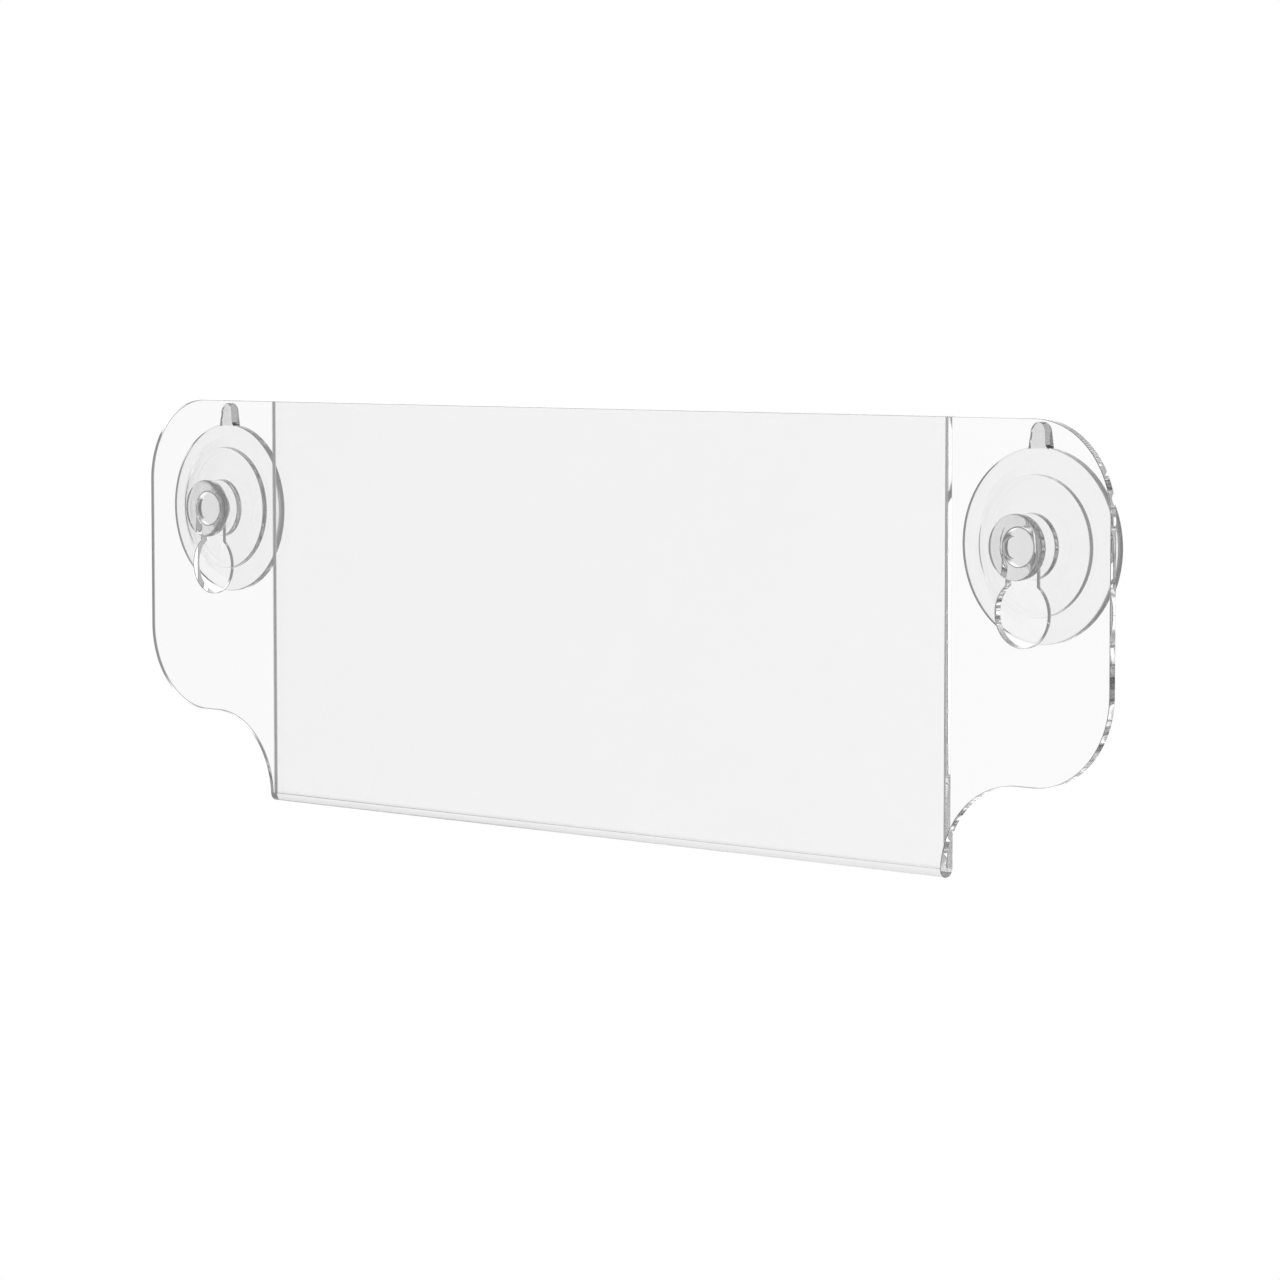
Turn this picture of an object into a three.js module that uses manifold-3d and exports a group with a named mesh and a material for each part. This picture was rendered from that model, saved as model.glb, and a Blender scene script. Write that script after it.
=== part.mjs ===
// Clear sign holder that hangs on a pane of glass by two suction cups.
// Units are millimetres, +Z is up, +Y points into the glass, and the reader stands on the -Y side.
// The origin lies on the glass, midway between the two suction cups.

import * as THREE from 'three';
import { mergeVertices } from 'three/addons/utils/BufferGeometryUtils.js';
import Module from 'manifold-3d';

const wasm = await Module();
wasm.setup();

// ---------------------------------------------------------------- driving dimensions

// Sheet holder
const sheetThickness = 2;
const pocketWidth = 235.5;
const holderHeight = 106.5;
const earEdgeMargin = 3.15;
const shoulderFlat = 5;
const shoulderDrop = 1.4;

// Suction cup, from the glass outwards
const discRadius = 22.5;
const discThickness = 2;
const sealingRingWidth = 3;
const dishDepth = 1.8;
const hubRadius = 16.3;
const hubRise = 1.65;
const collarRadius = 7.6;
const collarThickness = 1.5;
const neckRadius = 4.4;
const headRadius = 7.6;
const headHeight = 3;
const crownRadius = 5.2;
const crownHeight = 0.9;
const dimpleRadius = 2.5;
const dimpleDepth = 0.35;
const mouldRadius = 0.5;

// Pull tab on top of the disc
const tabHeight = 5.7;
const tabBaseWidth = 6.4;
const tabTipWidth = 5;
const tabDraft = 0.35;
const tabRootThickness = 2.4;
const tabTipThickness = 2.1;
const tabRampHeight = 0.3;
const tabRibs = 2;
const firstRibHeight = 1.4;
const tabRibPitch = 2.4;
const tabRibRadius = 0.45;
const tabRibRise = 0.25;

// Insert film
const filmThickness = 0.2;
const filmSideInset = 0.1;
const filmTopInset = 0.2;

// Fits and clearances
const neckClearance = 0.1;
const headClearance = 0.1;
const headToSheetGap = 0.2;
const grooveSpare = 1.6;
const filmClearance = 0.1;
const discToPocketGap = 1.1;
const tabToTopEdgeGap = 0.9;
const keyholeTravel = 15.2;

// Smoothness
const latheSides = 40;
const mouldSteps = 3;
const filletSteps = 2;
const crownSteps = 5;
const dishSteps = 6;
const ribSides = 8;
const cornerSteps = 10;
const holeSteps = 12;
const foldSteps = 8;
const pocketFloorSteps = 3;

// How far a cutting tool runs past the faces it cuts, and how near two corners count as one
const overcut = 1;
const weldDistance = 1e-5;

// ---------------------------------------------------------------- derived sizes

const pocketGap = filmThickness + 2 * filmClearance;
const pocketDepth = 2 * sheetThickness + pocketGap;
const foldRadius = pocketDepth / 2;

const hubFront = -(discThickness + hubRise);
const collarFront = hubFront - collarThickness;
const headBack = collarFront - (sheetThickness + grooveSpare);
const headFront = headBack - headHeight;

const sheetFront = headBack + headToSheetGap;
const sheetMiddle = sheetFront + foldRadius;
const pocketBack = sheetFront + pocketDepth;

const earWidth = discToPocketGap + 2 * discRadius + earEdgeMargin;
const earRadius = (earWidth - shoulderFlat) / 2;
const holderWidth = pocketWidth + 2 * earWidth;
const cupOffset = pocketWidth / 2 + discToPocketGap + discRadius;

const tabRoot = discRadius - sealingRingWidth / 2;
const topEdge = discRadius + tabHeight + tabToTopEdgeGap;
const bottomEdge = topEdge - holderHeight;
const foldLine = bottomEdge + foldRadius;
const shoulderLine = foldLine - shoulderDrop;

const slotHalfWidth = neckRadius + neckClearance;
const keyholeRadius = headRadius + headClearance;

// ---------------------------------------------------------------- materials

const clearAcrylic = new THREE.MeshStandardMaterial({ color: 0xf2f5f5, roughness: 0.05, metalness: 0 });
const clearVinyl = new THREE.MeshStandardMaterial({ color: 0xe6e8e8, roughness: 0.15, metalness: 0 });
const clearFilm = new THREE.MeshStandardMaterial({ color: 0xf4f4f2, roughness: 0.1, metalness: 0 });

// ---------------------------------------------------------------- joining and cutting

function solidOf(geometry) {
  const bare = geometry.clone();
  bare.deleteAttribute('normal');
  bare.deleteAttribute('uv');
  const welded = mergeVertices(bare, weldDistance);
  const mesh = new wasm.Mesh({
    numProp: 3,
    vertProperties: new Float32Array(welded.attributes.position.array),
    triVerts: new Uint32Array(welded.index.array),
  });
  return new wasm.Manifold(mesh);
}

function geometryOf(solid) {
  const mesh = solid.getMesh();
  const geometry = new THREE.BufferGeometry();
  geometry.setAttribute('position', new THREE.BufferAttribute(mesh.vertProperties, mesh.numProp));
  geometry.setIndex(new THREE.BufferAttribute(mesh.triVerts, 1));
  geometry.computeVertexNormals();
  return geometry;
}

// Extrudes an outline drawn in X and Z from the plane y = front back to the plane y = back.
function slab(outline, front, back, curveSegments) {
  const geometry = new THREE.ExtrudeGeometry(outline, {
    depth: back - front,
    bevelEnabled: false,
    curveSegments,
  });
  geometry.rotateX(Math.PI / 2);
  geometry.translate(0, back, 0);
  return solidOf(geometry);
}

// ---------------------------------------------------------------- sheet holder

// Outline of the front plate, seen from the reader's side: pocket, shoulders and two round-cornered ears.
// Each hollow shoulder starts where the fold begins, so that the fold itself is as wide as the pocket.
function frontOutline() {
  const side = holderWidth / 2;
  const pocketSide = pocketWidth / 2;
  const earBottom = shoulderLine + earRadius;
  const shoulderX = pocketSide + Math.sqrt(earRadius ** 2 - shoulderDrop ** 2);
  const startAngle = Math.asin(shoulderDrop / earRadius);
  const outline = new THREE.Shape();
  outline.moveTo(-pocketSide, bottomEdge);
  outline.lineTo(pocketSide, bottomEdge);
  outline.absarc(shoulderX, shoulderLine, earRadius, Math.PI - startAngle, Math.PI / 2, true);
  outline.absarc(side - earRadius, earBottom + earRadius, earRadius, -Math.PI / 2, 0, false);
  outline.absarc(side - earRadius, topEdge - earRadius, earRadius, 0, Math.PI / 2, false);
  outline.absarc(-side + earRadius, topEdge - earRadius, earRadius, Math.PI / 2, Math.PI, false);
  outline.absarc(-side + earRadius, earBottom + earRadius, earRadius, Math.PI, Math.PI * 1.5, false);
  outline.absarc(-shoulderX, shoulderLine, earRadius, Math.PI / 2, startAngle, true);
  outline.closePath();
  return outline;
}

// The neck rests in the round top of the slot; the head passes through the round hole below it.
function keyholeOutline(centreX) {
  const halfAngle = Math.asin(slotHalfWidth / keyholeRadius);
  const outline = new THREE.Shape();
  outline.absarc(centreX, 0, slotHalfWidth, 0, Math.PI, false);
  const startAngle = Math.PI / 2 + halfAngle;
  const endAngle = Math.PI * 2.5 - halfAngle;
  outline.absarc(centreX, -keyholeTravel, keyholeRadius, startAngle, endAngle, false);
  outline.closePath();
  return outline;
}

// Side profile of the folded sheet as if it were solid: down the front, round the fold and up the back.
function foldProfile() {
  const profile = new THREE.Shape();
  profile.moveTo(sheetFront, topEdge);
  profile.lineTo(sheetFront, foldLine);
  profile.absarc(sheetMiddle, foldLine, foldRadius, Math.PI, Math.PI * 2, false);
  profile.lineTo(pocketBack, topEdge);
  profile.closePath();
  return profile;
}

// Side profile of the pocket, open at the top, with a round floor inside the fold.
function pocketProfile() {
  const above = topEdge + overcut;
  const profile = new THREE.Shape();
  profile.moveTo(sheetMiddle - pocketGap / 2, above);
  profile.lineTo(sheetMiddle - pocketGap / 2, foldLine);
  profile.absarc(sheetMiddle, foldLine, pocketGap / 2, Math.PI, Math.PI * 2, false);
  profile.lineTo(sheetMiddle + pocketGap / 2, above);
  profile.closePath();
  return profile;
}

// Extrudes a profile drawn in Y and Z along X, centred on the plane x = 0.
function bar(profile, length, curveSegments) {
  const geometry = new THREE.ExtrudeGeometry(profile, { depth: length, bevelEnabled: false, curveSegments });
  geometry.translate(0, 0, -length / 2);
  const drawnYZ = new THREE.Matrix4().makeBasis(
    new THREE.Vector3(0, 1, 0),
    new THREE.Vector3(0, 0, 1),
    new THREE.Vector3(1, 0, 0),
  );
  geometry.applyMatrix4(drawnYZ);
  return solidOf(geometry);
}

function holder() {
  const panel = new THREE.Shape();
  panel.moveTo(-pocketWidth / 2, bottomEdge);
  panel.lineTo(pocketWidth / 2, bottomEdge);
  panel.lineTo(pocketWidth / 2, topEdge);
  panel.lineTo(-pocketWidth / 2, topEdge);
  panel.closePath();

  const folded = bar(foldProfile(), holderWidth, foldSteps);
  const pocket = bar(pocketProfile(), holderWidth + 2 * overcut, pocketFloorSteps);
  const frontCut = slab(frontOutline(), sheetFront, sheetMiddle, cornerSteps);
  const rearCut = slab(panel, sheetFront, pocketBack, cornerSteps);
  let solid = folded.subtract(pocket).intersect(frontCut.add(rearCut));
  for (const side of [-1, 1]) {
    const outline = keyholeOutline(side * cupOffset);
    const sheetBack = sheetFront + sheetThickness;
    solid = solid.subtract(slab(outline, sheetFront - overcut, sheetBack + overcut, holeSteps));
  }
  const mesh = new THREE.Mesh(geometryOf(solid), clearAcrylic);
  mesh.name = 'holder';
  return mesh;
}

// ---------------------------------------------------------------- suction cup

// A rounded corner of the profile, bulging towards the sharp corner between its two ends.
function roundCorner(points, corner, from, to, steps) {
  const curve = new THREE.QuadraticBezierCurve(
    new THREE.Vector2(...from),
    new THREE.Vector2(...corner),
    new THREE.Vector2(...to),
  );
  points.push(...curve.getPoints(steps));
}

// The head, from the centre of its dimple over the crown and round to the neck.
function headProfile(points) {
  const soft = mouldRadius;
  points.push(new THREE.Vector2(0, headFront + dimpleDepth));
  points.push(new THREE.Vector2(dimpleRadius - soft, headFront + dimpleDepth));
  points.push(new THREE.Vector2(dimpleRadius, headFront));
  const flank = headFront + crownHeight;
  roundCorner(points, [headRadius, headFront], [crownRadius, headFront], [headRadius, flank], crownSteps);
  const heel = headBack - 2 * soft;
  roundCorner(points, [headRadius, headBack], [headRadius, heel], [headRadius - soft, headBack], mouldSteps);
  const throat = [neckRadius + soft, headBack];
  roundCorner(points, [neckRadius, headBack], throat, [neckRadius, headBack + soft], filletSteps);
}

// A step outwards from one radius to the next lower level: a fillet at its foot and a round at its rim.
function stepProfile(points, innerRadius, outerRadius, level) {
  const soft = mouldRadius;
  const foot = [innerRadius, level - soft];
  roundCorner(points, [innerRadius, level], foot, [innerRadius + soft, level], filletSteps);
  const rim = [outerRadius - soft, level];
  roundCorner(points, [outerRadius, level], rim, [outerRadius, level + soft], mouldSteps);
}

// The back of the disc, from the edge of the sealing ring to the centre of the shallow dish.
function dishProfile(points) {
  const soft = mouldRadius / 2;
  roundCorner(points, [discRadius, 0], [discRadius, -soft], [discRadius - soft, 0], filletSteps);
  const dishRadius = discRadius - sealingRingWidth;
  const dish = new THREE.QuadraticBezierCurve(
    new THREE.Vector2(dishRadius, 0),
    new THREE.Vector2(dishRadius / 2, -dishDepth),
    new THREE.Vector2(0, -dishDepth),
  );
  points.push(...dish.getPoints(dishSteps));
  points[points.length - 1].x = 0;
}

// Half section of the cup, as radius and depth, from the centre of the head to the centre of the dish.
function cupProfile() {
  const points = [];
  headProfile(points);
  stepProfile(points, neckRadius, collarRadius, collarFront);
  stepProfile(points, collarRadius, hubRadius, hubFront);
  stepProfile(points, hubRadius, discRadius, -discThickness);
  dishProfile(points);
  return points;
}

// Outline of the pull tab, rooted in the disc and round at its tip.
function tabOutline() {
  const tip = discRadius + tabHeight;
  const tipRadius = tabTipWidth / 2;
  const outline = new THREE.Shape();
  outline.moveTo(-tabBaseWidth / 2, tabRoot);
  outline.lineTo(tabBaseWidth / 2, tabRoot);
  outline.lineTo(tipRadius, tip - tipRadius);
  outline.absarc(0, tip - tipRadius, tipRadius, 0, Math.PI, false);
  outline.closePath();
  return outline;
}

// Side profile of the pull tab: it ramps up off the disc, then thins towards its tip.
function tabProfile() {
  const profile = new THREE.Shape();
  profile.moveTo(0, tabRoot);
  profile.lineTo(0, discRadius + tabHeight);
  profile.lineTo(-tabTipThickness, discRadius + tabHeight);
  profile.lineTo(-tabRootThickness, discRadius + tabRampHeight);
  profile.lineTo(-discThickness, tabRoot);
  profile.closePath();
  return profile;
}

// A low round rib across the front face of the pull tab.
function tabRib(height) {
  const share = (height - tabRampHeight) / (tabHeight - tabRampHeight);
  const front = -(tabRootThickness + share * (tabTipThickness - tabRootThickness));
  const rib = new THREE.CylinderGeometry(tabRibRadius, tabRibRadius, tabBaseWidth, ribSides);
  rib.rotateZ(Math.PI / 2);
  rib.translate(0, front + tabRibRadius - tabRibRise, discRadius + height);
  return solidOf(rib);
}

// The tab's outline drawn forward from the glass plane, its sides leaning in so that it leaves the mould.
function draftedTab() {
  const front = -(tabRootThickness + tabRibRise);
  const geometry = new THREE.ExtrudeGeometry(tabOutline(), {
    depth: -front,
    bevelEnabled: false,
    curveSegments: cornerSteps,
  });
  const narrowing = 1 - tabDraft / (tabBaseWidth / 2);
  const place = geometry.attributes.position;
  for (let index = 0; index < place.count; index += 1) {
    if (place.getZ(index) > 0) {
      place.setX(index, place.getX(index) * narrowing);
    }
  }
  geometry.rotateX(Math.PI / 2);
  return solidOf(geometry);
}

function pullTab() {
  let solid = bar(tabProfile(), tabBaseWidth + 2 * overcut, cornerSteps);
  for (let index = 0; index < tabRibs; index += 1) {
    solid = solid.add(tabRib(firstRibHeight + index * tabRibPitch));
  }
  return solid.intersect(draftedTab());
}

function suctionCup(name, side) {
  const turned = solidOf(new THREE.LatheGeometry(cupProfile(), latheSides));
  const solid = turned.add(pullTab());
  const mesh = new THREE.Mesh(geometryOf(solid), clearVinyl);
  mesh.name = name;
  mesh.position.x = side * cupOffset;
  return mesh;
}

// ---------------------------------------------------------------- insert film

// The film stands on the inside of the fold and fills the pocket from side to side.
function insertFilm() {
  const width = pocketWidth - 2 * filmSideInset;
  const top = topEdge - filmTopInset;
  const bottom = foldLine;
  const geometry = new THREE.BoxGeometry(width, filmThickness, top - bottom);
  const mesh = new THREE.Mesh(geometry, clearFilm);
  mesh.name = 'insert_film';
  mesh.position.set(0, sheetMiddle, (top + bottom) / 2);
  return mesh;
}

// ---------------------------------------------------------------- assembly

const group = new THREE.Group();
group.add(holder());
group.add(suctionCup('suction_cup_left', -1));
group.add(suctionCup('suction_cup_right', 1));
group.add(insertFilm());

export default group;
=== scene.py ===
# A clear sign holder that hangs on a pane of glass: one folded acrylic sheet, two vinyl suction
# cups that snap into its keyholes, and the film in its pocket. Metres, +Z up, +Y into the glass.
import math

import bmesh
import bpy
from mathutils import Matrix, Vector


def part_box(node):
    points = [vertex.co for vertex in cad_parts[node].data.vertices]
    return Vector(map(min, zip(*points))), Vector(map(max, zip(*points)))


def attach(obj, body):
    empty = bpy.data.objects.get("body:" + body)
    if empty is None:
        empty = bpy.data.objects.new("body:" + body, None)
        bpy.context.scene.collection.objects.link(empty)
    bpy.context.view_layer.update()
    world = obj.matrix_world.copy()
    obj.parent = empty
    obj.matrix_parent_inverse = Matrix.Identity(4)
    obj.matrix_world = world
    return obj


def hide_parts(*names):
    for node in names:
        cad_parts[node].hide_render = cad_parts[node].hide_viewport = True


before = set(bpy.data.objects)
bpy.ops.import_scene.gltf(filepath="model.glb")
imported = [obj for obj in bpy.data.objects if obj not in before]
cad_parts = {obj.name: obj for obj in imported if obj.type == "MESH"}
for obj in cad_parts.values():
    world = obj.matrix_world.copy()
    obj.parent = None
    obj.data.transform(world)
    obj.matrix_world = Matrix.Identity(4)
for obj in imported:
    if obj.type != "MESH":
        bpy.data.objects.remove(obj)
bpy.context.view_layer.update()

# ---------------------------------------------------------------- camera
# A long lens at reader's height, to the right of the holder and a little above it, so that the
# folded edge, both cups and the thickness of the sheet can be seen.

holder_low, holder_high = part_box("holder")
camera_azimuth = math.radians(44.56)
camera_elevation = math.radians(4.22)
camera_distance = 1.1036
camera_lens = 126.8
camera_sensor = 36
farthest_seen = 50
aim_right_of_centre = 0.0206
aim_below_middle = 0.0031


def place_camera():
    aim = Vector((
        aim_right_of_centre,
        holder_low.y,
        (holder_low.z + holder_high.z) / 2 - aim_below_middle,
    ))
    towards_camera = Vector((
        math.sin(camera_azimuth) * math.cos(camera_elevation),
        -math.cos(camera_azimuth) * math.cos(camera_elevation),
        math.sin(camera_elevation),
    ))
    lens = bpy.data.cameras.new("camera")
    lens.lens = camera_lens
    lens.sensor_width = camera_sensor
    lens.clip_end = farthest_seen
    camera = bpy.data.objects.new("camera", lens)
    camera.location = aim + towards_camera * camera_distance
    camera.rotation_euler = towards_camera.to_track_quat("Z", "Y").to_euler()
    bpy.context.scene.collection.objects.link(camera)
    bpy.context.scene.camera = camera


place_camera()

# ---------------------------------------------------------------- studio
# An evenly lit white backdrop and floor, as clear goods are shown on. What the pieces mirror is the
# room: grey on the reader's side, bright to dim from left to right beyond the glass, and between
# the two a darker band all round.


class Signal:
    """A socket that carries a number, so that a pattern is written as a sum. Each sum adds a Math node."""

    def __init__(self, socket):
        self.socket = socket

    def math(self, operation, *values):
        tree = self.socket.id_data
        return node(tree, "Math", {"operation": operation}, dict(enumerate(values))).out()

    def __add__(self, other):
        return self.math("ADD", self, other)

    def __sub__(self, other):
        return self.math("SUBTRACT", self, other)

    def __rsub__(self, other):
        return self.math("SUBTRACT", other, self)

    def __mul__(self, other):
        return self.math("MULTIPLY", self, other)

    def power(self, exponent):
        return self.math("POWER", self, exponent)

    def absolute(self):
        return self.math("ABSOLUTE", self)

    def at_most(self, other):
        return self.math("MINIMUM", self, other)

    __radd__ = __add__
    __rmul__ = __mul__


class Made:
    """A node that has been added, with its outputs as signals."""

    def __init__(self, shader_node):
        self.shader_node = shader_node

    def out(self, name=0):
        return Signal(self.shader_node.outputs[name])


def node(tree, kind, settings=None, sockets=None):
    """Adds one shader node: its settings first, then the value or the link of each socket named."""
    made = tree.nodes.new("ShaderNode" + kind)
    for name, value in (settings or {}).items():
        setattr(made, name, value)
    for name, value in (sockets or {}).items():
        if isinstance(value, Signal):
            tree.links.new(value.socket, made.inputs[name])
        else:
            made.inputs[name].default_value = value
    return Made(made)


def remap(tree, value, low, high, to_low, to_high):
    """Carries the range from low to high over to another one, eased at both ends."""
    return node(tree, "MapRange", {"interpolation_type": "SMOOTHSTEP"}, {
        "Value": value, "From Min": low, "From Max": high, "To Min": to_low, "To Max": to_high,
    }).out()


backdrop_level = 1.0
left_backdrop_level = 1.4
right_backdrop_level = 0.26
reader_side_level = 0.54
flag_level = 0.32
backdrop_blend = 0.3
room_blend = 0.1
flag_inner = 0.35
flag_outer = 0.55
light_bounces = 200
floor_depth = 0.6
floor_size = 30


def room_light(tree, direction):
    """The backdrop where nothing mirrors it, and the room on whatever a surface mirrors."""
    mirrored = node(tree, "LightPath").out("Glossy Depth").at_most(1)
    split = node(tree, "SeparateXYZ", {}, {0: direction})
    sideways = split.out("X")
    depth = split.out("Y")
    backdrop = remap(
        tree, sideways, -backdrop_blend, backdrop_blend, left_backdrop_level, right_backdrop_level,
    )
    beyond = remap(tree, depth, -room_blend, room_blend, 0, 1)
    flagged = remap(tree, depth.absolute(), flag_inner, flag_outer, 1, 0)
    lit = reader_side_level + beyond * (backdrop - reader_side_level)
    room = lit + flagged * (flag_level - lit)
    return backdrop_level + mirrored * (room - backdrop_level)


def light_studio():
    scene = bpy.context.scene
    scene.view_settings.view_transform = "Standard"
    scene.cycles.max_bounces = light_bounces
    scene.cycles.transmission_bounces = light_bounces
    scene.cycles.glossy_bounces = light_bounces
    world = bpy.data.worlds.new("studio")
    scene.world = world
    world.use_nodes = True
    tree = world.node_tree
    tree.nodes.clear()
    direction = node(tree, "TexCoord").out("Generated")
    light = room_light(tree, direction)
    background = node(tree, "Background", {}, {"Color": (1, 1, 1, 1), "Strength": light})
    node(tree, "OutputWorld", {}, {"Surface": background.out()})


light_studio()


def lay_floor():
    mesh = bmesh.new()
    bmesh.ops.create_grid(mesh, x_segments=1, y_segments=1, size=floor_size / 2)
    bmesh.ops.translate(mesh, vec=(0, 0, -floor_depth), verts=mesh.verts)
    data = bpy.data.meshes.new("floor")
    mesh.to_mesh(data)
    mesh.free()
    floor = bpy.data.objects.new("floor", data)
    bpy.context.scene.collection.objects.link(floor)
    paint = bpy.data.materials.new("pale_floor")
    paint.use_nodes = True
    tree = paint.node_tree
    tree.nodes.clear()
    place = node(tree, "TexCoord").out("Object")
    direction = node(tree, "VectorMath", {"operation": "NORMALIZE"}, {0: place}).out()
    glow = node(tree, "Emission", {}, {"Color": (1, 1, 1, 1), "Strength": room_light(tree, direction)})
    node(tree, "OutputMaterial", {}, {"Surface": glow.out()})
    data.materials.append(paint)


lay_floor()

# ---------------------------------------------------------------- sheet holder
# One clear acrylic sheet, cut flat with its two ears and keyholes, polished along every edge, then
# heated along one line and folded back on itself so that the rear panel makes a pocket.

sheet_thickness = 0.002
pocket_width = 0.2355
shoulder_flat = 0.005
shoulder_drop = 0.0014
neck_radius = 0.0044
neck_clearance = 0.0001
keyhole_travel = 0.0152
keyhole_radius = 0.0077
arris_width = 0.00015
arris_steps = 3
arc_steps = 40
fold_steps = 24
weld_distance = 1e-7
sharp_corner = math.radians(60)

pocket_depth = holder_high.y - holder_low.y
fold_radius = pocket_depth / 2
fold_middle_radius = fold_radius - sheet_thickness / 2
fold_line = holder_low.z + fold_radius
fold_length = math.pi * fold_middle_radius
panel_end = fold_line - fold_length - (holder_high.z - fold_line)
ear_width = holder_high.x - pocket_width / 2
ear_radius = (ear_width - shoulder_flat) / 2
cup_low, cup_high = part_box("suction_cup_right")
cup_offset = (cup_low.x + cup_high.x) / 2
flat_margin = 0.0004
faces_the_reader = 0.999
faces_sideways = 0.001


class Outline:
    """A line drawn on the sheet in X and Z, with straight runs and arcs swept about a centre."""

    def __init__(self, mesh, x, z):
        self.mesh = mesh
        self.last = mesh.verts.new((x, 0, z))
        self.edges = []

    def line_to(self, x, z):
        point = self.mesh.verts.new((x, 0, z))
        self.edges.append(self.mesh.edges.new((self.last, point)))
        self.last = point

    def turn(self, x, z, angle):
        swept = bmesh.ops.spin(
            self.mesh, geom=[self.last], cent=(x, 0, z), axis=(0, 1, 0),
            angle=angle, steps=arc_steps, use_duplicate=False,
        )
        self.last = next(part for part in swept["geom_last"] if isinstance(part, bmesh.types.BMVert))


def draw_half_outline(mesh):
    side = holder_high.x
    top = holder_high.z
    shoulder_line = fold_line - shoulder_drop
    ear_bottom = shoulder_line + ear_radius
    shoulder_x = pocket_width / 2 + math.sqrt(ear_radius ** 2 - shoulder_drop ** 2)
    quarter = math.pi / 2
    outline = Outline(mesh, 0, top)
    outline.line_to(side - ear_radius, top)
    outline.turn(side - ear_radius, top - ear_radius, quarter)
    outline.line_to(side, ear_bottom + ear_radius)
    outline.turn(side - ear_radius, ear_bottom + ear_radius, quarter)
    outline.line_to(shoulder_x, ear_bottom)
    outline.turn(shoulder_x, shoulder_line, math.asin(shoulder_drop / ear_radius) - quarter)
    outline.line_to(pocket_width / 2, panel_end)
    outline.line_to(0, panel_end)


def draw_keyhole(mesh):
    half_width = neck_radius + neck_clearance
    mouth = -keyhole_travel + math.sqrt(keyhole_radius ** 2 - half_width ** 2)
    keyhole = Outline(mesh, cup_offset + half_width, mouth)
    keyhole.line_to(cup_offset + half_width, 0)
    keyhole.turn(cup_offset, 0, -math.pi)
    keyhole.line_to(cup_offset - half_width, mouth)
    keyhole.turn(cup_offset, -keyhole_travel, 2 * math.asin(half_width / keyhole_radius) - math.tau)


def fold(vertex):
    """Rolls what hangs below the fold line round behind the front plate, about the sheet's middle."""
    below = fold_line - vertex.co.z
    if below <= 0:
        return
    centre = holder_low.y + fold_radius
    radius = centre - vertex.co.y
    angle = min(below / fold_middle_radius, math.pi)
    straight = max(below - fold_length, 0)
    vertex.co.y = centre - radius * math.cos(angle)
    vertex.co.z = fold_line - radius * math.sin(angle) + straight


def finish_object(name, mesh, materials):
    data = bpy.data.meshes.new(name)
    mesh.to_mesh(data)
    mesh.free()
    for material in materials:
        data.materials.append(material)
    made = bpy.data.objects.new(name, data)
    bpy.context.scene.collection.objects.link(made)
    return made


def make_sheet(materials):
    mesh = bmesh.new()
    draw_half_outline(mesh)
    draw_keyhole(mesh)
    bmesh.ops.mirror(mesh, geom=mesh.verts[:] + mesh.edges[:], axis="X", merge_dist=weld_distance)
    bmesh.ops.remove_doubles(mesh, verts=mesh.verts, dist=weld_distance)
    bmesh.ops.triangle_fill(mesh, use_beauty=True, edges=mesh.edges)
    front = bmesh.ops.extrude_face_region(mesh, geom=mesh.faces[:])["geom"]
    moved = [part for part in front if isinstance(part, bmesh.types.BMVert)]
    bmesh.ops.translate(mesh, vec=(0, sheet_thickness, 0), verts=moved)
    bmesh.ops.translate(mesh, vec=(0, holder_low.y, 0), verts=mesh.verts)
    bmesh.ops.recalc_face_normals(mesh, faces=mesh.faces)
    corners = [edge for edge in mesh.edges if edge.calc_face_angle(0) > sharp_corner]
    bmesh.ops.bevel(
        mesh, geom=corners, offset=arris_width, segments=arris_steps, profile=0.5,
        affect="EDGES", material=-1, clamp_overlap=True,
    )
    for face in mesh.faces:
        face.smooth = True
        facing = abs(face.normal.y)
        if facing < faces_the_reader:
            face.material_index = 1 if facing < faces_sideways else 2
    for edge in mesh.edges:
        edge.smooth = len({face.material_index for face in edge.link_faces}) == 1
    cuts = [fold_line + flat_margin, fold_line - fold_length - flat_margin]
    cuts += [fold_line - fold_length * step / fold_steps for step in range(fold_steps + 1)]
    for height in cuts:
        bmesh.ops.bisect_plane(
            mesh, geom=mesh.verts[:] + mesh.edges[:] + mesh.faces[:],
            plane_co=(0, 0, height), plane_no=(0, 0, 1), dist=weld_distance,
        )
    for vertex in mesh.verts:
        fold(vertex)
    bmesh.ops.recalc_face_normals(mesh, faces=mesh.faces)
    return finish_object("folded_sheet", mesh, materials)


def start_material(name):
    material = bpy.data.materials.new(name)
    material.use_nodes = True
    tree = material.node_tree
    tree.nodes.clear()
    return material, tree, node(tree, "TexCoord").out("Object")


def noise(tree, place, scale, stretch=(1, 1, 1), detail=2):
    """Cloudy noise, so many cells to the metre, drawn out along an axis whose stretch is small."""
    spread = node(tree, "Mapping", {}, {"Vector": place, "Scale": stretch}).out()
    return node(tree, "TexNoise", {}, {"Vector": spread, "Scale": scale, "Detail": detail}).out("Fac")


def grey(tree, level):
    return node(tree, "CombineColor", {}, {0: level, 1: level, 2: level}).out()


def bump(tree, height, depth):
    return node(tree, "Bump", {}, {"Height": height, "Distance": depth, "Strength": 1}).out()


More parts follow.
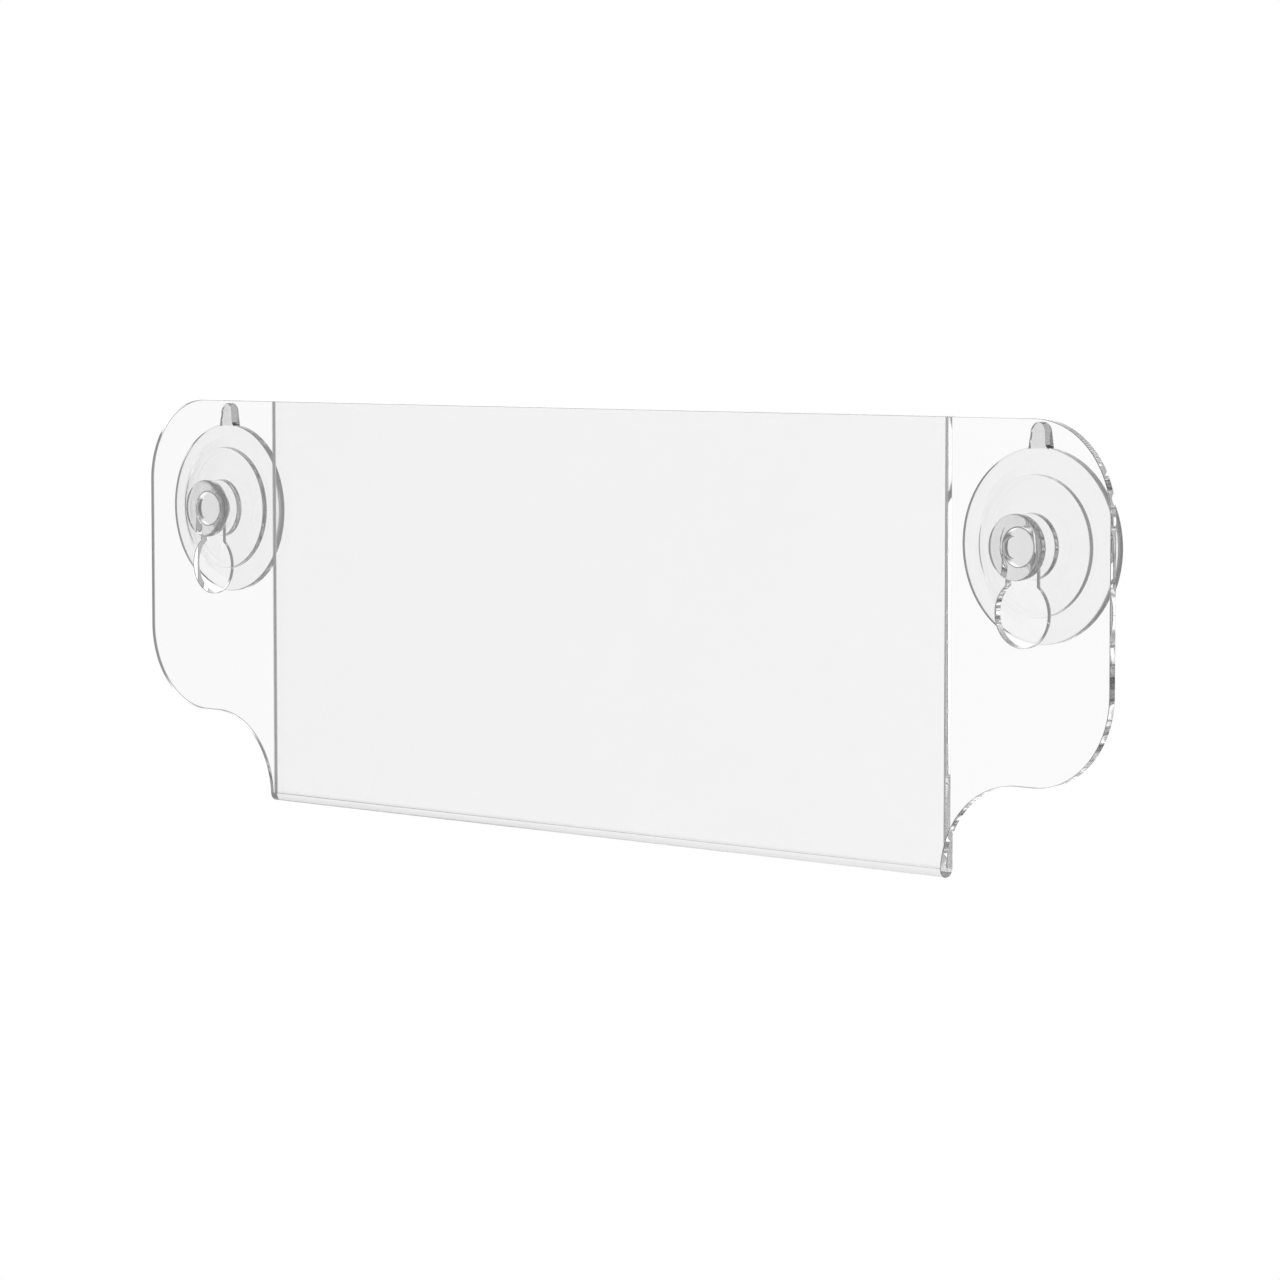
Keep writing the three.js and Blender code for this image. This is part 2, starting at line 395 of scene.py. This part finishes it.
def clear_solid(tree, index, colour, roughness, normal, volume=None):
    """Clear plastic: light goes through it, bent by its index, and its surface is all that varies."""
    body = node(tree, "BsdfPrincipled", {}, {
        "Base Color": colour,
        "Roughness": roughness,
        "Normal": normal,
        "IOR": index,
        "Transmission Weight": 1,
    })
    output = node(tree, "OutputMaterial", {}, {"Surface": body.out()})
    if volume:
        tree.links.new(volume.socket, output.shader_node.inputs["Volume"])


acrylic_index = 1.49
fold_band_reach_below = 0.0006
fold_band_reach_above = 0.0008
cloud_tint = 0.006
# The next two set how dark the painted shade along the fold is, and how much deeper it goes in streaks.
bend_painted_shade = 0.08
streak_painted_shade = 0.08
streak_height = 0.5
rubbed_roughness = 0.012
bend_roughness = 0.03
face_ripple_depth = 0.000004
streaks_per_metre = 900
clouds_per_metre = 25
rubs_per_metre = 40
ripples_per_metre = 12
saw_waves_per_metre = 220
polish_marks_per_metre = 700
nicks_per_metre = 1500
along_the_fold = (0.06, 1, 1)
drawn_upright = (1, 1, 0.4)
across_the_cut = (1, 0.1, 1)
polish_stroke = (1, 0.15, 1)
edge_brightness = 0.96
saw_wave_tint = 0.08
saw_wave_depth = 0.00002
edge_roughness = 0.05
# The chamfer's dark grey is painted shade for the dark line along each edge.
arris_painted_shade = 0.26
nick_tint = 0.2
nick_depth = 0.00001
arris_roughness = 0.08
nick_roughness = 0.1


def acrylic_face():
    """The sheet's own glossy skin: hardly any cloud, a few rubbed patches, and a duller bend, its colour
    darkened along the fold with painted shade, deeper in streaks.
    """
    material, tree, place = start_material("clear_acrylic")
    height = node(tree, "SeparateXYZ", {}, {0: place}).out("Z")
    heated_and_shaded = remap(tree, height, fold_line - fold_band_reach_below, fold_line + fold_band_reach_above, 1, 0)
    streaks = noise(tree, place, streaks_per_metre, along_the_fold)
    cloud = noise(tree, place, clouds_per_metre)
    # Painted shade: the colour darkens in the band along the fold, more in streaks; the same band also
    # makes the bend rougher and rippled.
    colour = grey(tree, 1 - cloud * cloud_tint - heated_and_shaded * (bend_painted_shade + streaks * streak_painted_shade))
    rubs = noise(tree, place, rubs_per_metre, drawn_upright)
    rubbed = remap(tree, rubs, 0.55, 0.75, 0, rubbed_roughness)
    roughness = rubbed + heated_and_shaded * bend_roughness
    waviness = noise(tree, place, ripples_per_metre) + heated_and_shaded * streaks * streak_height
    ripple = bump(tree, waviness, face_ripple_depth)
    clear_solid(tree, acrylic_index, colour, roughness, ripple)
    return material


def acrylic_edge():
    """The cut face, flame-polished: bright, with the faint waves that the saw left."""
    material, tree, place = start_material("polished_edge")
    waves = noise(tree, place, saw_waves_per_metre, across_the_cut)
    colour = grey(tree, edge_brightness - waves * saw_wave_tint)
    polish = noise(tree, place, polish_marks_per_metre, polish_stroke)
    roughness = remap(tree, polish, 0.4, 0.7, 0.0, edge_roughness)
    clear_solid(tree, acrylic_index, colour, roughness, bump(tree, waves, saw_wave_depth))
    return material


def acrylic_arris():
    """The narrow chamfer along every cut, its colour painted dark grey: painted shade that draws the dark
    line along each edge, lighter where it is nicked.
    """
    material, tree, place = start_material("arris_painted_dark_line")
    nicks = noise(tree, place, nicks_per_metre)
    # Painted shade: a dark grey colour on the chamfer, lifted a little where it is nicked.
    colour = grey(tree, arris_painted_shade + nicks * nick_tint)
    roughness = arris_roughness + nicks * nick_roughness
    clear_solid(tree, acrylic_index, colour, roughness, bump(tree, nicks, nick_depth))
    return material


sheet = make_sheet([acrylic_face(), acrylic_edge(), acrylic_arris()])
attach(sheet, "holder")
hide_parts("holder")

# ---------------------------------------------------------------- suction cups
# Each cup is one clear soft vinyl moulding: a mushroom head that passes the keyhole, a neck, a
# collar, a raised hub, a disc with a shallow dish behind, and a ribbed tab to peel it off by.

disc_radius = (cup_high.x - cup_low.x) / 2
disc_thickness = 0.002
ring_width = 0.003
dish_depth = 0.0018
hub_radius = 0.0163
hub_front = -0.00365
collar_radius = 0.0076
collar_front = -0.00515
head_radius = 0.0076
head_back = -0.00875
head_front = cup_low.y
dimple_radius = 0.0025
dimple_depth = 0.00035
mould_radius = 0.0005
dimple_slope = 0.0001
dimple_lip = 0.0002
dimple_round = 0.0004
crown_reach = 0.0024
crown_drop = 0.0009
rim_round = 0.0004
hub_round = 0.0006
back_round = 0.0003
dish_sweep = 0.0085
wall_shares = (0.6, 0.45, 0.3)
turn_steps = 140
cup_weld_distance = 1e-6
cup_sharp_corner = math.radians(35)
tab_height = cup_high.z - disc_radius
tab_root_width = 0.00606
tab_base_width = 0.006
tab_tip_width = 0.005
tab_front_narrowing = 0.15
tab_root_thickness = 0.0024
tab_tip_thickness = 0.0021
tab_ramp_height = 0.0003
tab_rib_heights = (0.0014, 0.0038)
tab_rib_radius = 0.00045
tab_rib_rise = 0.00025
tab_root_reach = 0.00055
tab_root_rounding = 0.4
rib_step_degrees = 30
tip_step_degrees = 5
tip_last_degrees = 85


def soften(points, steps=6):
    """A line through the corners given, each one rounded over its own distance before and after it."""
    line = []
    for index, (radius, depth, before, after) in enumerate(points):
        corner = Vector((radius, depth))
        if not before:
            line.append(corner)
            continue
        back = (Vector(points[index - 1][:2]) - corner).normalized() * before
        onward = (Vector(points[index + 1][:2]) - corner).normalized() * after
        for step in range(steps + 1):
            part = step / steps
            line.append(corner + back * (1 - part) ** 2 + onward * part ** 2)
    return line


def cup_section():
    """Half of the cup cut down its middle, from the head's dimple round to the centre of the dish."""
    ring_inside = disc_radius - ring_width
    return soften([
        (0, head_front + dimple_depth, 0, 0),
        (dimple_radius, head_front + dimple_depth, dimple_round, dimple_lip),
        (dimple_radius + dimple_slope, head_front, dimple_lip, dimple_round),
        (head_radius, head_front, crown_reach, crown_drop),
        (head_radius, head_back, 2 * mould_radius, mould_radius),
        (neck_radius, head_back, mould_radius, mould_radius),
        (neck_radius, collar_front, mould_radius, mould_radius),
        (collar_radius, collar_front, rim_round, rim_round),
        (collar_radius, hub_front, rim_round, mould_radius),
        (hub_radius, hub_front, hub_round, mould_radius),
        (hub_radius, -disc_thickness, rim_round, mould_radius),
        (disc_radius, -disc_thickness, mould_radius, mould_radius),
        *[(disc_radius, -disc_thickness * share, 0, 0) for share in wall_shares],
        (disc_radius, 0, back_round, back_round),
        (ring_inside, 0, hub_round, hub_round),
        (ring_inside / 2, -dish_depth, dish_sweep, dish_sweep),
        (0, -dish_depth, 0, 0),
    ])


def tab_width(height):
    """Nearly upright sides that close in a half round at the tip."""
    tip_radius = tab_tip_width / 2
    shoulder = tab_height - tip_radius
    if height > shoulder:
        return 2 * math.sqrt(max(tip_radius ** 2 - (height - shoulder) ** 2, 0))
    return tab_base_width + (tab_tip_width - tab_base_width) * height / shoulder


def tab_thickness(height, across):
    """The tab thins towards its tip, and each low rib fades out towards the tab's sides."""
    taper = (height - tab_ramp_height) / (tab_height - tab_ramp_height)
    thickness = tab_root_thickness + (tab_tip_thickness - tab_root_thickness) * taper
    fade = max(1 - (2 * across) ** 4, 0)
    for rib_height in tab_rib_heights:
        within = max(tab_rib_radius ** 2 - (height - rib_height) ** 2, 0)
        thickness += fade * max(math.sqrt(within) - tab_rib_radius + tab_rib_rise, 0)
    return thickness


def tab_levels():
    levels = [tab_ramp_height]
    for rib_height in tab_rib_heights:
        for degrees in range(-90, 91, rib_step_degrees):
            levels.append(rib_height + tab_rib_radius * math.sin(math.radians(degrees)))
    tip_radius = tab_tip_width / 2
    for degrees in range(0, tip_last_degrees + 1, tip_step_degrees):
        levels.append(tab_height - tip_radius + tip_radius * math.sin(math.radians(degrees)))
    return sorted(levels)


def tab_side(forward):
    """The share of its width that the tab keeps, from the back at 0 to the front at 1."""
    return 1 - tab_front_narrowing * forward ** 2


def grow_tab(mesh):
    """Draws the rim at the top of the disc upwards, level by level, into the pull tab."""
    across = mesh.verts.layers.float.new("across")
    forward = mesh.verts.layers.float.new("forward")
    rim = disc_radius - tab_root_reach
    grown = []
    for face in mesh.faces:
        centre = face.calc_center_median()
        on_rim = math.hypot(centre.x, centre.z) > rim
        if on_rim and centre.z > 0 and abs(centre.x) < tab_root_width / 2:
            grown.append(face)
            for vertex in face.verts:
                vertex[across] = vertex.co.x / tab_root_width
                vertex[forward] = -vertex.co.y / disc_thickness
    last_height = 0
    for height in tab_levels():
        made = bmesh.ops.extrude_face_region(mesh, geom=grown)["geom"]
        bmesh.ops.delete(mesh, geom=grown, context="FACES_KEEP_BOUNDARY")
        grown = [part for part in made if isinstance(part, bmesh.types.BMFace)]
        for vertex in made:
            if not isinstance(vertex, bmesh.types.BMVert):
                continue
            if last_height == 0:
                drop = disc_radius - math.hypot(vertex.co.x, vertex.co.z)
                vertex.co.z = disc_radius - drop * tab_root_rounding
            vertex.co.x = vertex[across] * tab_width(height) * tab_side(vertex[forward])
            vertex.co.y = -vertex[forward] * tab_thickness(height, vertex[across])
            vertex.co.z += height - last_height
        last_height = height
    mesh.verts.layers.float.remove(mesh.verts.layers.float["across"])
    mesh.verts.layers.float.remove(mesh.verts.layers.float["forward"])


def make_cup(name, side, materials):
    mesh = bmesh.new()
    points = [mesh.verts.new((point.x, point.y, 0)) for point in cup_section()]
    for first, second in zip(points, points[1:]):
        mesh.edges.new((first, second))
    bmesh.ops.spin(
        mesh, geom=mesh.verts[:] + mesh.edges[:], cent=(0, 0, 0), axis=(0, 1, 0),
        angle=math.tau, steps=turn_steps, use_merge=True, use_duplicate=False,
    )
    bmesh.ops.remove_doubles(mesh, verts=mesh.verts, dist=cup_weld_distance)
    grow_tab(mesh)
    bmesh.ops.recalc_face_normals(mesh, faces=mesh.faces)
    bmesh.ops.translate(mesh, vec=(side * cup_offset, 0, 0), verts=mesh.verts)
    for face in mesh.faces:
        face.smooth = True
    for edge in mesh.edges:
        edge.smooth = edge.calc_face_angle(0) < cup_sharp_corner
    cup = finish_object(name, mesh, materials)
    shading = cup.modifiers.new("flat faces shaded flat", "WEIGHTED_NORMAL")
    shading.keep_sharp = True
    return cup


vinyl_index = 1.53
vinyl_brightness = 0.99
flow_tint = 0.03
flow_depth = 0.00002
# The rim and head values below set painted shade: how dark it is, and over how wide a blend.
rim_painted_shade = 0.2
rim_painted_shade_reach = 0.0005
head_painted_shade = 0.12
head_painted_shade_reach = 0.0005
moulded_roughness = 0.005
handled_roughness = 0.05
vinyl_grey = (0.5, 0.5, 0.5, 1)
vinyl_density = 30
flow_rings_per_metre = 600
flow_turn = 0.9
flow_layers_per_metre = 120
touches_per_metre = 120


def clear_vinyl():
    """Soft clear vinyl: slightly grey in depth, with flow marks round the disc from the moulding, and
    painted shade that darkens the head and the disc's rim and tab.
    """
    material, tree, place = start_material("clear_vinyl")
    split = node(tree, "SeparateXYZ", {}, {0: place})
    sideways = split.out("X").absolute() - cup_offset
    upwards = split.out("Z")
    radius = (sideways * sideways + upwards * upwards).power(0.5)
    angle = upwards.math("ARCTAN2", upwards, sideways)
    depth = split.out("Y")
    polar = node(tree, "CombineXYZ", {}, {
        0: radius * flow_rings_per_metre,
        1: angle * flow_turn,
        2: depth * flow_layers_per_metre,
    }).out()
    flow = noise(tree, polar, 1, detail=3)
    # Painted shade: the colour darkens in a narrow band at the disc's rim and over the tab, and over the
    # whole head, fading out behind its back face.
    rim_and_tab_shade = remap(tree, radius, disc_radius - rim_painted_shade_reach, disc_radius, 0, rim_painted_shade)
    head_front_side = head_back - head_painted_shade_reach
    head = remap(tree, depth, head_front_side, head_back + head_painted_shade_reach, head_painted_shade, 0)
    colour = grey(tree, (vinyl_brightness - flow * flow_tint) * (1 - rim_and_tab_shade) * (1 - head))
    handled = noise(tree, place, touches_per_metre)
    roughness = remap(tree, handled, 0.45, 0.75, moulded_roughness, handled_roughness)
    tint = node(tree, "VolumeAbsorption", {}, {"Color": vinyl_grey, "Density": vinyl_density}).out()
    clear_solid(tree, vinyl_index, colour, roughness, bump(tree, flow, flow_depth), tint)
    return material


vinyl = clear_vinyl()
for piece_name, node_name, body_name, side in (
    ("cup_left", "suction_cup_left", "left_cup", -1),
    ("cup_right", "suction_cup_right", "right_cup", 1),
):
    cup = make_cup(piece_name, side, [vinyl])
    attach(cup, body_name)
    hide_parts(node_name)

# ---------------------------------------------------------------- pocket film
# A thin clear film that keeps a card clean, cut to the pocket's own width and height with its
# corners just rounded. It stands on the inside of the fold and is drawn out of the top.

film_low, film_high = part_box("insert_film")
film_corner = 0.0003
film_corner_steps = 6


def make_film(materials):
    mesh = bmesh.new()
    bmesh.ops.create_cube(mesh, size=1)
    bmesh.ops.scale(mesh, vec=film_high - film_low, verts=mesh.verts)
    bmesh.ops.translate(mesh, vec=(film_high + film_low) / 2, verts=mesh.verts)
    upright = [edge for edge in mesh.edges if abs((edge.verts[0].co - edge.verts[1].co).y) > 1e-6]
    bmesh.ops.bevel(
        mesh, geom=upright, offset=film_corner, segments=film_corner_steps, profile=0.5,
        affect="EDGES", material=-1, clamp_overlap=True,
    )
    return finish_object("pocket_film", mesh, materials)


film_index = 1.5
film_haze_tint = 0.006
film_roughness = 0.01
film_slack_depth = 0.00001
slack_waves_per_metre = 9
film_clouds_per_metre = 60
film_haze_per_metre = 30
rolled_sideways = (0.3, 1, 1)


def clear_film():
    """Clear film fresh from its sleeve: a trace of haze, and the slack of a sheet that was rolled."""
    material, tree, place = start_material("clear_film")
    slack = noise(tree, place, slack_waves_per_metre, rolled_sideways)
    colour = grey(tree, 1 - noise(tree, place, film_clouds_per_metre) * film_haze_tint)
    haze = noise(tree, place, film_haze_per_metre)
    roughness = remap(tree, haze, 0.5, 0.8, 0.0, film_roughness)
    clear_solid(tree, film_index, colour, roughness, bump(tree, slack, film_slack_depth))
    return material


film = make_film([clear_film()])
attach(film, "insert")
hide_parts("insert_film")
